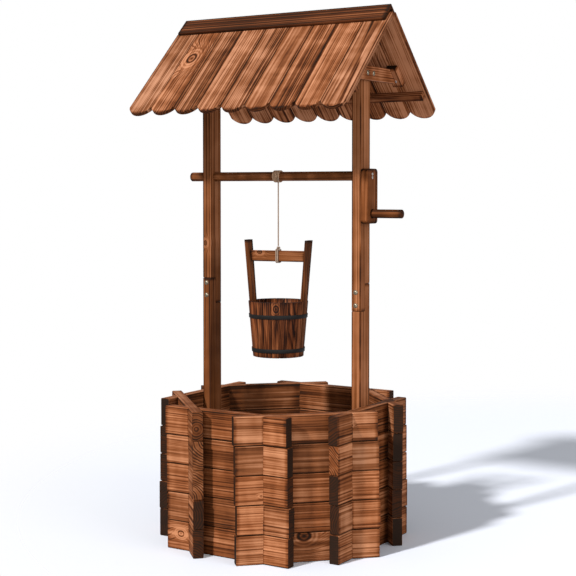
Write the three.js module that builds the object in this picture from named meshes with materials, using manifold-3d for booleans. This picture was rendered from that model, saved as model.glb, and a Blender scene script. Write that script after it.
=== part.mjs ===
// Wishing well planter: an octagonal planter of crossed boards, two posts spliced with half
// laps, a winch that carries a staved bucket on a rope, and a gabled roof of round-ended boards.
// Millimetres. X runs along the ridge towards the crank, the front is -Y and Z is up.
// The origin is on the ground, in the middle of the octagon.

import * as THREE from 'three';
import { mergeVertices } from 'three/addons/utils/BufferGeometryUtils.js';
import Module from 'manifold-3d';

const wasm = await Module();
wasm.setup();

// Clearance between pieces that seat on each other, and how far a cut runs past its piece
const seatGap = 0.3;
const cutOverrun = 8;

// Planter walls: courses of boards, half lapped where two walls cross
const courseHeight = 60;
const courseCount = 5;
const wallThickness = 22;
const wallApothem = 223;
const wallOverhang = 60;
const boardChamfer = 1.6;

// Planter floor
const slatWidth = 96;
const slatSpacing = 104;
const slatThickness = 14;

// Posts
const postWidth = 21.5;
const postDepth = 40;
const postHeight = 1006;
const lapFoot = 497.5;
const lapLength = 57;

// Roof
const roofPitch = 45 * Math.PI / 180;
const ridgeRise = 114.5;
const roofBoardCount = 9;
const roofBoardSpacing = 59.4;
const roofBoardThickness = 9;
const slopeLength = 295;
const boardEndRise = 20;
const capReach = 38;
const capThickness = 7;
const capSetback = 7;
const ridgeBeamWidth = 30;
const ridgeBeamDepth = 34;
const battenWidth = 15;
const battenThickness = 15;
const battenSetback = 6;
const battenReach = 231;

// Gable ties and the cleats that join them to the slopes
const tieHeight = 29;
const tieThickness = 12;
const cleatWidth = 25;
const cleatThickness = 12;
const cleatLength = 51;
const cleatTail = 31.2;

// Winch
const axleHeight = 779;
const axleRadius = 10;
const axleOverhang = 43;
const axleClearance = 0.4;
const dowelChamfer = 1.2;
const armThickness = 17;
const armWidth = 44;
const armHead = 15;
const armTail = 99;
const armCornerRadius = 8;
const crankRadius = 78.4;
const handleRadius = 9.1;
const handleLength = 69.2;
const socketDepth = 6;

// Rope
const ropeRadius = 1.5;
const ropeFreeLength = 146.8;
const ropeDropPlace = -6.5;
const windingTurns = 4.25;
const windingPitch = 3.7;
const hitchTurns = 2;
const hitchPitch = 3.6;
const knotWidth = 9.2;
const knotHeight = 9.3;

// Bucket
const staveCount = 20;
const tubBaseRadius = 54.6;
const tubRimRadius = 64.6;
const tubHeight = 119;
const staveThickness = 8;
const staveGroove = 0.8;
const handleStaveWidth = 24;
const handleRise = 131;
const handleRounding = 5;
const barHeight = 23.5;
const barThickness = 9;
const barDrop = 23;
const tubFloorHeight = 9;
const tubFloorThickness = 9;
const hoopHeight = 8.4;
const hoopThickness = 1.3;
const lowerHoopHeight = 10.5;
const upperHoopHeight = 83.4;
const bucketTurn = 9.3 * Math.PI / 180;

// Facets of round pieces and steps of wound rope
const dowelFacets = 24;
const endFacets = 12;
const hoopFacets = 60;
const ropeSides = 6;
const dropSides = 8;
const stepsPerTurn = 24;
const stepsPerCorner = 4;

const X = new THREE.Vector3(1, 0, 0);
const Y = new THREE.Vector3(0, 1, 0);
const Z = new THREE.Vector3(0, 0, 1);

// Finishes of the real pieces
const finishes = {
  wallBoard: { color: 0x9a6a45, roughness: 0.75, metalness: 0 },
  roofBoard: { color: 0xa8704b, roughness: 0.7, metalness: 0 },
  post: { color: 0x7d4527, roughness: 0.65, metalness: 0 },
  stave: { color: 0x5c2f1c, roughness: 0.65, metalness: 0 },
  rope: { color: 0xb08a5c, roughness: 0.95, metalness: 0 },
  hoop: { color: 0x1c1a1a, roughness: 0.55, metalness: 0.6 },
};

const well = new THREE.Group();

function addPiece(parent, name, geometry, finish) {
  const piece = new THREE.Mesh(geometry, new THREE.MeshStandardMaterial(finishes[finish]));
  piece.name = name;
  parent.add(piece);
  return piece;
}

function addGroup(parent, x = 0, y = 0, z = 0) {
  const group = new THREE.Group();
  group.position.set(x, y, z);
  parent.add(group);
  return group;
}

// A closed mesh as a solid that can be cut and joined, and back again
function solid(geometry) {
  const bare = geometry.clone();
  bare.deleteAttribute('normal');
  bare.deleteAttribute('uv');
  const merged = mergeVertices(bare);
  return new wasm.Manifold(new wasm.Mesh({
    numProp: 3,
    vertProperties: Float32Array.from(merged.attributes.position.array),
    triVerts: Uint32Array.from(merged.index.array),
  }));
}

function geometryOf(shape) {
  const mesh = shape.getMesh();
  const geometry = new THREE.BufferGeometry();
  geometry.setAttribute('position', new THREE.BufferAttribute(mesh.vertProperties, 3));
  geometry.setIndex(new THREE.BufferAttribute(mesh.triVerts, 1));
  return geometry;
}

// A box from its lowest to its highest corner
function block(low, high) {
  const size = high.map((value, axis) => value - low[axis]);
  const geometry = new THREE.BoxGeometry(...size);
  return geometry.translate(...low.map((value, axis) => value + size[axis] / 2));
}

// A shape with straight sides
function polygon(points) {
  return new THREE.Shape(points.map(([across, up]) => new THREE.Vector2(across, up)));
}

// A shape in (Y, Z) that runs along X from one place to another
function alongX(shape, from, to) {
  const options = { depth: to - from, bevelEnabled: false, curveSegments: endFacets };
  const geometry = new THREE.ExtrudeGeometry(shape, options);
  const placed = new THREE.Matrix4().makeBasis(Y, Z, X).setPosition(from, 0, 0);
  return geometry.applyMatrix4(placed);
}

// A round bar along X with chamfered ends
function dowel(radius, from, to) {
  const profile = [
    [0, from],
    [radius - dowelChamfer, from],
    [radius, from + dowelChamfer],
    [radius, to - dowelChamfer],
    [radius - dowelChamfer, to],
    [0, to],
  ].map(([r, x]) => new THREE.Vector2(r, x));
  return new THREE.LatheGeometry(profile, dowelFacets).rotateZ(-Math.PI / 2);
}

// A solid through level sections, each a closed outline of as many points
function loft(sections) {
  const count = sections[0].points.length;
  const positions = [];
  for (const { points, height } of sections) {
    for (const [x, y] of points) positions.push(x, y, height);
  }
  const index = [];
  for (let level = 0; level < sections.length - 1; level += 1) {
    for (let i = 0; i < count; i += 1) {
      const a = level * count + i;
      const b = level * count + (i + 1) % count;
      index.push(a, b, b + count, a, b + count, a + count);
    }
  }
  const cap = (points) => {
    const corners = points.map(([x, y]) => new THREE.Vector2(x, y));
    return THREE.ShapeUtils.triangulateShape(corners, []);
  };
  const lastLevel = (sections.length - 1) * count;
  for (const [a, b, c] of cap(sections[0].points)) index.push(a, c, b);
  for (const corners of cap(sections.at(-1).points)) {
    index.push(...corners.map((corner) => lastLevel + corner));
  }
  const geometry = new THREE.BufferGeometry();
  geometry.setAttribute('position', new THREE.Float32BufferAttribute(positions, 3));
  geometry.setIndex(index);
  return geometry;
}

// A tube through centre points, with one outward direction for each point
function ropeTube(centres, outwards, radius, sides) {
  const positions = [];
  centres.forEach((centre, i) => {
    const before = centres[Math.max(i - 1, 0)];
    const after = centres[Math.min(i + 1, centres.length - 1)];
    const along = after.clone().sub(before).normalize();
    const side = along.clone().cross(outwards[i]).normalize();
    const out = side.clone().cross(along);
    for (let k = 0; k < sides; k += 1) {
      const angle = 2 * Math.PI * k / sides;
      const point = centre.clone();
      point.addScaledVector(out, radius * Math.cos(angle));
      point.addScaledVector(side, radius * Math.sin(angle));
      positions.push(...point);
    }
  });
  const index = [];
  for (let i = 0; i < centres.length - 1; i += 1) {
    for (let k = 0; k < sides; k += 1) {
      const a = i * sides + k;
      const b = i * sides + (k + 1) % sides;
      index.push(a, b, b + sides, a, b + sides, a + sides);
    }
  }
  const last = (centres.length - 1) * sides;
  for (let k = 1; k < sides - 1; k += 1) {
    index.push(0, k + 1, k);
    index.push(last, last + k, last + k + 1);
  }
  const geometry = new THREE.BufferGeometry();
  geometry.setAttribute('position', new THREE.Float32BufferAttribute(positions, 3));
  geometry.setIndex(index);
  return geometry;
}

// The least gap between stretches of a wound rope that lie half a turn or more apart
function leastGap(centres, steps, radius) {
  let least = Infinity;
  for (let i = 0; i < centres.length; i += 1) {
    for (let j = i + Math.floor(steps / 2); j < centres.length; j += 1) {
      least = Math.min(least, centres[i].distanceTo(centres[j]) - 2 * radius);
    }
  }
  return least;
}

// Octagon of the planter
const sideCount = 8;
const sideAngle = 2 * Math.PI / sideCount;
const wallHeight = courseCount * courseHeight;
const wallMiddle = wallApothem - wallThickness / 2;
const wallInside = wallApothem - wallThickness;
const wallReach = wallApothem * Math.tan(sideAngle / 2) + wallOverhang;

// Walls: five boards each, chamfered along their edges. Where two walls cross, one keeps the
// lower half of every board and the other keeps the upper half.
function wallOutline() {
  const face = [];
  for (let course = 0; course < courseCount; course += 1) {
    const foot = course * courseHeight;
    face.push([wallThickness / 2 - boardChamfer, foot]);
    face.push([wallThickness / 2, foot + boardChamfer]);
    face.push([wallThickness / 2, foot + courseHeight - boardChamfer]);
  }
  face.push([wallThickness / 2 - boardChamfer, wallHeight]);
  const back = face.map(([y, z]) => [-y, z]).reverse();
  return [...face, ...back].map(([y, z]) => [y - wallMiddle, z]);
}

function crossedWall(keptHalf) {
  let wall = solid(alongX(polygon(wallOutline()), -wallReach, wallReach));
  const slotHalfWidth = wallThickness / 2 + seatGap;
  for (let course = 0; course < courseCount; course += 1) {
    const cutHalf = keptHalf === 'lower' ? 1 : 0;
    const slotFoot = (course + cutHalf / 2) * courseHeight - seatGap / 2;
    const slotHead = slotFoot + courseHeight / 2 + seatGap;
    for (const turn of [-sideAngle, sideAngle]) {
      const slot = block(
        [-wallReach - cutOverrun, -wallMiddle - slotHalfWidth, slotFoot],
        [wallReach + cutOverrun, -wallMiddle + slotHalfWidth, slotHead],
      );
      wall = wall.subtract(solid(slot.rotateZ(turn)));
    }
  }
  return geometryOf(wall);
}

const sideNames = ['front', 'front_right', 'right', 'back_right', 'back', 'back_left', 'left', 'front_left'];
sideNames.forEach((sideName, side) => {
  const keptHalf = side % 2 === 0 ? 'lower' : 'upper';
  const wall = addPiece(well, `wall_${sideName}`, crossedWall(keptHalf), 'wallBoard');
  wall.rotation.z = side * sideAngle;
});

// Floor: two bearers of wall board, half lapped into a cross that stands on the ground and
// reaches the diagonal walls, and three slats sawn to the octagon on them
const floorReach = wallInside - seatGap;
const bearerTop = courseHeight;

function floorBearer(keptHalf) {
  const half = wallThickness / 2;
  const bearer = block([-floorReach, -half, 0], [floorReach, half, bearerTop]);
  const slotFoot = keptHalf === 'lower' ? (bearerTop - seatGap) / 2 : -cutOverrun;
  const slotHead = keptHalf === 'lower' ? bearerTop + cutOverrun : (bearerTop + seatGap) / 2;
  const slot = block(
    [-half - seatGap, -half - cutOverrun, slotFoot],
    [half + seatGap, half + cutOverrun, slotHead],
  );
  return geometryOf(solid(bearer).subtract(solid(slot)));
}

addPiece(well, 'floor_bearer_lower', floorBearer('lower'), 'wallBoard').rotation.z = sideAngle;
addPiece(well, 'floor_bearer_upper', floorBearer('upper'), 'wallBoard').rotation.z = -sideAngle;

const floorCorner = floorReach * Math.tan(sideAngle / 2);
const slatLength = (x) => Math.min(floorReach, floorReach + floorCorner - Math.abs(x));
[['left', -1], ['middle', 0], ['right', 1]].forEach(([slatName, place]) => {
  const from = place * slatSpacing - slatWidth / 2;
  const to = from + slatWidth;
  const corners = [-floorCorner, floorCorner].filter((x) => x > from && x < to);
  const stations = [from, ...corners, to];
  const front = stations.map((x) => [x, -slatLength(x)]);
  const back = stations.map((x) => [x, slatLength(x)]).reverse();
  const options = { depth: slatThickness, bevelEnabled: false };
  const slat = new THREE.ExtrudeGeometry(polygon([...front, ...back]), options);
  slat.translate(0, 0, bearerTop + seatGap);
  addPiece(well, `floor_slat_${slatName}`, slat, 'wallBoard');
});

// Posts: a lower and an upper length, half lapped front to back, against the side walls
const postOutside = wallInside - seatGap;
const postInside = postOutside - postWidth;
const postHalfDepth = postDepth / 2;
const lapHead = lapFoot + lapLength;

function lowerPost(tongueSide) {
  const low = lapFoot - seatGap / 2;
  const high = lapHead - seatGap / 2;
  const tongueFace = tongueSide * seatGap / 2;
  const outline = polygon([
    [-tongueSide * postHalfDepth, 0],
    [tongueSide * postHalfDepth, 0],
    [tongueSide * postHalfDepth, high],
    [tongueFace, high],
    [tongueFace, low],
    [-tongueSide * postHalfDepth, low],
  ]);
  return alongX(outline, postInside, postOutside);
}

function upperPost(tongueSide) {
  const low = lapFoot + seatGap / 2;
  const high = lapHead + seatGap / 2;
  const tongueFace = tongueSide * seatGap / 2;
  const outline = polygon([
    [-tongueSide * postHalfDepth, postHeight],
    [tongueSide * postHalfDepth, postHeight],
    [tongueSide * postHalfDepth, low],
    [tongueFace, low],
    [tongueFace, high],
    [-tongueSide * postHalfDepth, high],
  ]);
  const axleHole = new THREE.Path();
  axleHole.absarc(0, axleHeight, axleRadius + axleClearance, 0, 2 * Math.PI);
  outline.holes.push(axleHole);
  return alongX(outline, postInside, postOutside);
}

const frontSide = -1;
const backSide = 1;
addPiece(well, 'right_post_lower', lowerPost(backSide), 'post');
addPiece(well, 'right_post_upper', upperPost(frontSide), 'post');
const leftPostLower = lowerPost(frontSide).translate(-postInside - postOutside, 0, 0);
const leftPostUpper = upperPost(backSide).translate(-postInside - postOutside, 0, 0);
addPiece(well, 'left_post_lower', leftPostLower, 'post');
addPiece(well, 'left_post_upper', leftPostUpper, 'post');

// Roof slopes: the ridge stands at a set height above the posts. Each slope is a group whose X
// runs along the ridge, Y down the slope from the ridge line and Z inwards from the boards'
// outer faces. The back slope is the front one turned.
const ridgeHeight = postHeight + ridgeRise;
const frontSlope = addGroup(well, 0, 0, ridgeHeight);
frontSlope.rotation.x = roofPitch - Math.PI;
const backTurn = addGroup(well, 0, 0, ridgeHeight);
backTurn.rotation.z = Math.PI;
const backSlope = addGroup(backTurn);
backSlope.rotation.x = roofPitch - Math.PI;

const roofLength = roofBoardCount * roofBoardSpacing - seatGap;
const boardHead = roofBoardThickness * Math.tan(roofPitch) + seatGap;
const underBoards = roofBoardThickness + seatGap;

function roofBoard() {
  const halfWidth = (roofBoardSpacing - seatGap) / 2;
  const endRadius = (halfWidth ** 2 + boardEndRise ** 2) / (2 * boardEndRise);
  const endCentre = slopeLength - endRadius;
  const endAngle = Math.atan2(slopeLength - boardEndRise - endCentre, halfWidth);
  const outline = new THREE.Shape();
  outline.moveTo(halfWidth, boardHead);
  outline.lineTo(halfWidth, slopeLength - boardEndRise);
  outline.absarc(0, endCentre, endRadius, endAngle, Math.PI - endAngle, false);
  outline.lineTo(-halfWidth, boardHead);
  const options = { depth: roofBoardThickness, bevelEnabled: false, curveSegments: endFacets };
  return new THREE.ExtrudeGeometry(outline, options);
}

// Ridge cap board: mitred at the ridge, lying on the boards
function ridgeCap() {
  const outer = -seatGap - capThickness;
  const inner = -seatGap;
  const mitre = (depth) => depth * Math.tan(roofPitch) + seatGap / 2 / Math.cos(roofPitch);
  const capHalfLength = roofLength / 2 - capSetback;
  const outline = polygon([
    [mitre(outer), outer],
    [capReach, outer],
    [capReach, inner],
    [mitre(inner), inner],
  ]);
  return alongX(outline, -capHalfLength, capHalfLength);
}

// The ties' ends are cut to the slope to meet the cleats, which lie along the boards beside them
const tieInside = postOutside + seatGap;
const tieFoot = postHeight - tieHeight;
const tieEndDepth = underBoards + cleatThickness + seatGap;
const tieReach = (z) => {
  const drop = ridgeHeight - z;
  return (drop * Math.cos(roofPitch) - tieEndDepth) / Math.sin(roofPitch);
};
const tieMiddle = postHeight - tieHeight / 2;
const tieMiddleDrop = ridgeHeight - tieMiddle;
const tiePlace = tieMiddleDrop * Math.sin(roofPitch) + tieReach(tieMiddle) * Math.cos(roofPitch);
const cleatReach = tiePlace + cleatTail;

const battenHalfLength = roofLength / 2 - battenSetback;
for (const [slopeName, slope] of [['front', frontSlope], ['back', backSlope]]) {
  for (let i = 0; i < roofBoardCount; i += 1) {
    const place = (i - (roofBoardCount - 1) / 2) * roofBoardSpacing;
    const number = slopeName === 'front' ? i + 1 : roofBoardCount - i;
    const board = addPiece(slope, `roof_${slopeName}_board_${number}`, roofBoard(), 'roofBoard');
    board.position.x = place;
  }
  addPiece(slope, `ridge_cap_${slopeName}`, ridgeCap(), 'roofBoard');
  const batten = block(
    [-battenHalfLength, battenReach - battenWidth, underBoards],
    [battenHalfLength, battenReach, underBoards + battenThickness],
  );
  addPiece(slope, `eave_batten_${slopeName}`, batten, 'roofBoard');
  for (const end of [-1, 1]) {
    const endName = (end > 0) === (slopeName === 'front') ? 'right' : 'left';
    const cleat = block(
      [tieInside, cleatReach - cleatLength, underBoards],
      [tieInside + cleatWidth, cleatReach, underBoards + cleatThickness],
    );
    cleat.translate(end > 0 ? 0 : -2 * tieInside - cleatWidth, 0, 0);
    addPiece(slope, `roof_cleat_${slopeName}_${endName}`, cleat, 'roofBoard');
  }
}

// Ridge beam: under the boards' heads, its top planed to both slopes
const beamHalfWidth = ridgeBeamWidth / 2;
const beamTop = ridgeHeight - (underBoards + seatGap) / Math.cos(roofPitch);
const beamShoulder = beamTop - beamHalfWidth * Math.tan(roofPitch);
const beamOutline = polygon([
  [0, beamTop],
  [-beamHalfWidth, beamShoulder],
  [-beamHalfWidth, beamTop - ridgeBeamDepth],
  [beamHalfWidth, beamTop - ridgeBeamDepth],
  [beamHalfWidth, beamShoulder],
]);
addPiece(well, 'ridge_beam', alongX(beamOutline, -postOutside, postOutside), 'roofBoard');

// Gable ties: on the posts' outer faces
const tieOutline = polygon([
  [-tieReach(tieFoot), tieFoot],
  [tieReach(tieFoot), tieFoot],
  [tieReach(postHeight), postHeight],
  [-tieReach(postHeight), postHeight],
]);
const tieOutside = tieInside + tieThickness;
addPiece(well, 'gable_tie_right', alongX(tieOutline, tieInside, tieOutside), 'roofBoard');
addPiece(well, 'gable_tie_left', alongX(tieOutline, -tieOutside, -tieInside), 'roofBoard');

// Winch: an axle through both posts, with a crank arm and handle socketed on its right end
const winch = addGroup(well, 0, 0, axleHeight);
const armInside = postOutside + seatGap;
const armOutside = armInside + armThickness;

function crankArm() {
  const half = armWidth / 2;
  const corner = armCornerRadius;
  const outline = new THREE.Shape();
  outline.absarc(half - corner, armHead - corner, corner, 0, Math.PI / 2, false);
  outline.absarc(-half + corner, armHead - corner, corner, Math.PI / 2, Math.PI, false);
  outline.absarc(-half + corner, -armTail + corner, corner, Math.PI, 3 * Math.PI / 2, false);
  outline.absarc(half - corner, -armTail + corner, corner, 3 * Math.PI / 2, 2 * Math.PI, false);
  const plate = solid(alongX(outline, armInside, armOutside));
  const axleSocket = new THREE.CylinderGeometry(
    axleRadius + seatGap, axleRadius + seatGap, socketDepth + cutOverrun, dowelFacets,
  );
  axleSocket.rotateZ(-Math.PI / 2);
  axleSocket.translate(armInside + (socketDepth - cutOverrun) / 2, 0, 0);
  const handleSocket = new THREE.CylinderGeometry(
    handleRadius + seatGap, handleRadius + seatGap, socketDepth + cutOverrun, dowelFacets,
  );
  handleSocket.rotateZ(-Math.PI / 2);
  handleSocket.translate(armOutside - (socketDepth - cutOverrun) / 2, 0, -crankRadius);
  return geometryOf(plate.subtract(solid(axleSocket)).subtract(solid(handleSocket)));
}

const axleEnd = armInside + socketDepth - seatGap;
addPiece(winch, 'winch_axle', dowel(axleRadius, -postOutside - axleOverhang, axleEnd), 'post');
addPiece(winch, 'crank_arm', crankArm(), 'post');
const handleRoot = armOutside - socketDepth + seatGap;
const handle = dowel(handleRadius, handleRoot, armOutside + handleLength);
addPiece(winch, 'crank_handle', handle.translate(0, 0, -crankRadius), 'post');

// Rope on the axle: it leaves at the front, straight down, and winds up over the top
const windingRadius = axleRadius + seatGap + ropeRadius;
const windingSteps = Math.round(windingTurns * stepsPerTurn);
const windingCentres = [new THREE.Vector3(ropeDropPlace, -windingRadius, -2 * ropeRadius)];
const windingOutwards = [Y.clone().negate()];
for (let step = 0; step <= windingSteps; step += 1) {
  const turn = windingTurns * step / windingSteps;
  const angle = 2 * Math.PI * turn;
  const outward = new THREE.Vector3(0, -Math.cos(angle), Math.sin(angle));
  const centre = outward.clone().multiplyScalar(windingRadius);
  centre.x = ropeDropPlace - windingPitch * turn;
  windingCentres.push(centre);
  windingOutwards.push(outward);
}
const windingLast = windingCentres.at(-1);
const windingHeading = windingOutwards.at(-1).clone().cross(X);
windingCentres.push(windingLast.clone().addScaledVector(windingHeading, 2 * ropeRadius));
windingOutwards.push(windingOutwards.at(-1));
const windingGap = leastGap(windingCentres, stepsPerTurn, ropeRadius);
console.log(`least gap between the winding's turns ${windingGap.toFixed(2)} mm`);
const winding = ropeTube(windingCentres, windingOutwards, ropeRadius, ropeSides);
addPiece(winch, 'rope_winding', winding, 'rope');

// Free rope, straight down from the winding to the knot on the bucket's bar
const hanging = addGroup(well, ropeDropPlace, -windingRadius, 0);
const dropTop = axleHeight - 2 * ropeRadius - seatGap;
const dropFoot = dropTop - ropeFreeLength;
const dropSteps = Math.round(ropeFreeLength / (5 * ropeRadius));
const dropCentres = [];
const dropOutwards = [];
for (let step = 0; step <= dropSteps; step += 1) {
  dropCentres.push(new THREE.Vector3(0, 0, dropTop - ropeFreeLength * step / dropSteps));
  dropOutwards.push(Y.clone().negate());
}
addPiece(hanging, 'rope_drop', ropeTube(dropCentres, dropOutwards, ropeRadius, dropSides), 'rope');

// Hitch: the rope's end taken round the bar and knotted above it
const knotTop = dropFoot - seatGap;
const barTop = knotTop - knotHeight - seatGap;
const barFoot = barTop - barHeight;

function ropeHitch() {
  const bend = seatGap + ropeRadius;
  const corners = [
    [1, barTop, 0],
    [-1, barTop, 1],
    [-1, barFoot, 2],
    [1, barFoot, 3],
  ];
  const ring = [];
  for (const [side, height, quarter] of corners) {
    for (let step = 0; step <= stepsPerCorner; step += 1) {
      const angle = Math.PI / 2 * (quarter + step / stepsPerCorner);
      const outward = new THREE.Vector3(0, Math.cos(angle), Math.sin(angle));
      const corner = new THREE.Vector3(0, side * barThickness / 2, height);
      ring.push({ outward, centre: corner.addScaledVector(outward, bend) });
    }
  }
  const firstPoint = stepsPerCorner;
  const pointCount = ring.length * hitchTurns;
  const centres = [];
  const outwards = [];
  for (let i = 0; i <= pointCount; i += 1) {
    const { outward, centre } = ring[(firstPoint + i) % ring.length];
    const place = hitchPitch * hitchTurns * (i / pointCount - 1 / 2);
    centres.push(centre.clone().setX(place));
    outwards.push(outward);
  }
  const hitchGap = leastGap(centres, ring.length, ropeRadius);
  console.log(`least gap between the hitch's loops ${hitchGap.toFixed(2)} mm`);
  const knot = new THREE.SphereGeometry(knotHeight / 2, endFacets, endFacets / 2);
  knot.rotateX(Math.PI / 2);
  knot.scale(knotWidth / knotHeight, knotWidth / knotHeight, 1);
  knot.translate(0, 0, knotTop - knotHeight / 2);
  return geometryOf(solid(ropeTube(centres, outwards, ropeRadius, ropeSides)).add(solid(knot)));
}

const bucket = addGroup(hanging, 0, 0, 0);
bucket.rotation.z = bucketTurn;
addPiece(bucket, 'rope_hitch', ropeHitch(), 'rope');

// Bucket: tapered staves round a floor, two of them longer to carry the bar
const handleTop = barTop + barDrop;
const tubRim = handleTop - handleRise;
const tubFoot = tubRim - tubHeight;
const sideStaves = staveCount / 2 - 1;
const handleAngle = handleStaveWidth / tubRimRadius;
const staveAngle = (Math.PI - handleAngle) / sideStaves;
const tubTaper = (tubRimRadius - tubBaseRadius) / tubHeight;
const tubRadius = (height) => tubBaseRadius + (height - tubFoot) * tubTaper;
const around = (radius, angle) => [radius * Math.cos(angle), radius * Math.sin(angle)];

// Outline of neighbouring staves at one height, with a groove at each joint outside
function staveOutline(start, angle, count, height, sideCut) {
  const outer = tubRadius(height);
  const inner = outer - staveThickness;
  const groove = staveGroove / outer;
  const outside = [];
  const inside = [];
  for (let stave = 0; stave < count; stave += 1) {
    const from = start + stave * angle + (stave === 0 ? sideCut / outer : 0);
    const to = start + (stave + 1) * angle - (stave === count - 1 ? sideCut / outer : 0);
    outside.push(around(outer - staveGroove, from), around(outer, from + groove));
    outside.push(around(outer, (from + to) / 2), around(outer, to - groove));
    if (stave === count - 1) outside.push(around(outer - staveGroove, to));
    inside.push(around(inner, from));
    if (stave === count - 1) inside.push(around(inner, to));
  }
  return [...outside, ...inside.reverse()];
}

function staves(start, angle, count, levels) {
  return loft(levels.map(([height, sideCut]) => ({
    height,
    points: staveOutline(start, angle, count, height, sideCut),
  })));
}

const tubLevels = [[tubFoot, seatGap / 2], [tubRim, seatGap / 2]];
const handleLevels = [[tubFoot, seatGap / 2]];
for (let step = 0; step <= stepsPerCorner; step += 1) {
  const angle = Math.PI / 2 * step / stepsPerCorner;
  handleLevels.push([
    handleTop - handleRounding * (1 - Math.sin(angle)),
    seatGap / 2 + handleRounding * (1 - Math.cos(angle)),
  ]);
}

for (const [endName, end] of [['right', 0], ['left', Math.PI]]) {
  const stave = staves(end - handleAngle / 2, handleAngle, 1, handleLevels);
  addPiece(bucket, `bucket_${endName}_handle_stave`, stave, 'stave');
}
const sideStarts = [['back', handleAngle / 2], ['front', Math.PI + handleAngle / 2]];
for (const [sideName, start] of sideStarts) {
  const row = staves(start, staveAngle, sideStaves, tubLevels);
  addPiece(bucket, `bucket_${sideName}_staves`, row, 'stave');
}

// Tub floor: a disc whose facets follow the staves' inner faces
const floorFoot = tubFoot + tubFloorHeight;
const floorLevels = [floorFoot, floorFoot + tubFloorThickness].map((height) => {
  const radius = tubRadius(height) - staveThickness - seatGap / Math.cos(handleAngle / 2);
  const points = [];
  for (const [, start] of sideStarts) {
    for (let joint = 0; joint <= sideStaves; joint += 1) {
      points.push(around(radius, start + joint * staveAngle));
    }
  }
  return { height, points };
});
addPiece(bucket, 'bucket_floor', loft(floorLevels), 'stave');

// Hoops: flat bands driven down the taper
for (const [hoopName, place] of [['lower', lowerHoopHeight], ['upper', upperHoopHeight]]) {
  const foot = tubFoot + place;
  const head = foot + hoopHeight;
  const inside = (height) => (tubRadius(height) + seatGap) / Math.cos(Math.PI / hoopFacets);
  const profile = [
    [inside(foot), foot],
    [inside(foot) + hoopThickness, foot],
    [inside(head) + hoopThickness, head],
    [inside(head), head],
    [inside(foot), foot],
  ].map(([radius, height]) => new THREE.Vector2(radius, height));
  const hoop = new THREE.LatheGeometry(profile, hoopFacets).rotateX(Math.PI / 2);
  addPiece(bucket, `bucket_${hoopName}_hoop`, hoop, 'hoop');
}

// Bar between the long staves, its ends cut to their lean
const barReach = (height) => {
  const staveFace = (tubRadius(height) - staveThickness) * Math.cos(handleAngle / 2);
  return staveFace - seatGap;
};
const barOutline = polygon([
  [-barReach(barFoot), barFoot],
  [barReach(barFoot), barFoot],
  [barReach(barTop), barTop],
  [-barReach(barTop), barTop],
]);
const bar = new THREE.ExtrudeGeometry(barOutline, { depth: barThickness, bevelEnabled: false });
bar.rotateX(Math.PI / 2);
bar.translate(0, barThickness / 2, 0);
addPiece(bucket, 'bucket_bar', bar, 'stave');

export default well;
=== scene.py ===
import math
import random

import bpy
from mathutils import Matrix, Vector


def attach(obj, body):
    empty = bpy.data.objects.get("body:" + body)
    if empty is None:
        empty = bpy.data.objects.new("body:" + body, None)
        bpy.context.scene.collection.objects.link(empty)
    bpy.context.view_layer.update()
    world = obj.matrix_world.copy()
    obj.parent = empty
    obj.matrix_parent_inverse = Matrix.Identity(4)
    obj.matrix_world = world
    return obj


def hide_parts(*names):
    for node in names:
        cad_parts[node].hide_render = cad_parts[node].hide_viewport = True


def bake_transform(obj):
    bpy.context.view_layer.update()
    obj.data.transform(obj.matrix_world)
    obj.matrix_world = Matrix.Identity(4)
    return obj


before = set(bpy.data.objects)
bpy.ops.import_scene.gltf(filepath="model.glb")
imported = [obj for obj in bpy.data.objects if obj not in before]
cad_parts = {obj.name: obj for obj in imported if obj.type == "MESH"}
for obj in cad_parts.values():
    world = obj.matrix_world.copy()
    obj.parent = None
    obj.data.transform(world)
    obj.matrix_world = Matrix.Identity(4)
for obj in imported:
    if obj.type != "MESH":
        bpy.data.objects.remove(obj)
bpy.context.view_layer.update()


# Camera. The well stands with its front turned 32 degrees to the left of the lens, which is a
# little lower than the winch's axle and looks slightly down.
CAMERA_TURN = math.radians(32.31)
CAMERA_DISTANCE = 2.87618
CAMERA_HEIGHT = 0.75107
CAMERA_DIP = math.radians(2.18)
SENSOR_WIDTH = 36
LENS_LENGTH = 83.205
LENS_SHIFT = (0.00733, -0.08333)

lens = bpy.data.cameras.new("camera")
lens.sensor_fit = "HORIZONTAL"
lens.sensor_width = SENSOR_WIDTH
lens.lens = LENS_LENGTH
lens.shift_x, lens.shift_y = LENS_SHIFT
camera = bpy.data.objects.new("camera", lens)
bpy.context.collection.objects.link(camera)
camera.location = (
    math.sin(CAMERA_TURN) * CAMERA_DISTANCE,
    -math.cos(CAMERA_TURN) * CAMERA_DISTANCE,
    CAMERA_HEIGHT,
)
camera.rotation_euler = (math.pi / 2 - CAMERA_DIP, 0, CAMERA_TURN)
bpy.context.scene.camera = camera


# Rope. One length of twisted three-strand jute, 3 mm thick. This is the part that hangs straight
# from the axle to the bucket's bar. It gets longer as the bucket goes down.
ROPE_RADIUS = 0.0015
ROPE_LAY = 0.0085
ROPE_SIDES = 18
STRAND_DEPTH = 0.24
ROPE_X = -0.0065
ROPE_Y = -0.0118
DROP_TOP = 0.7757
DROP_FOOT = 0.6289
DROP_STEPS = 180


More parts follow.
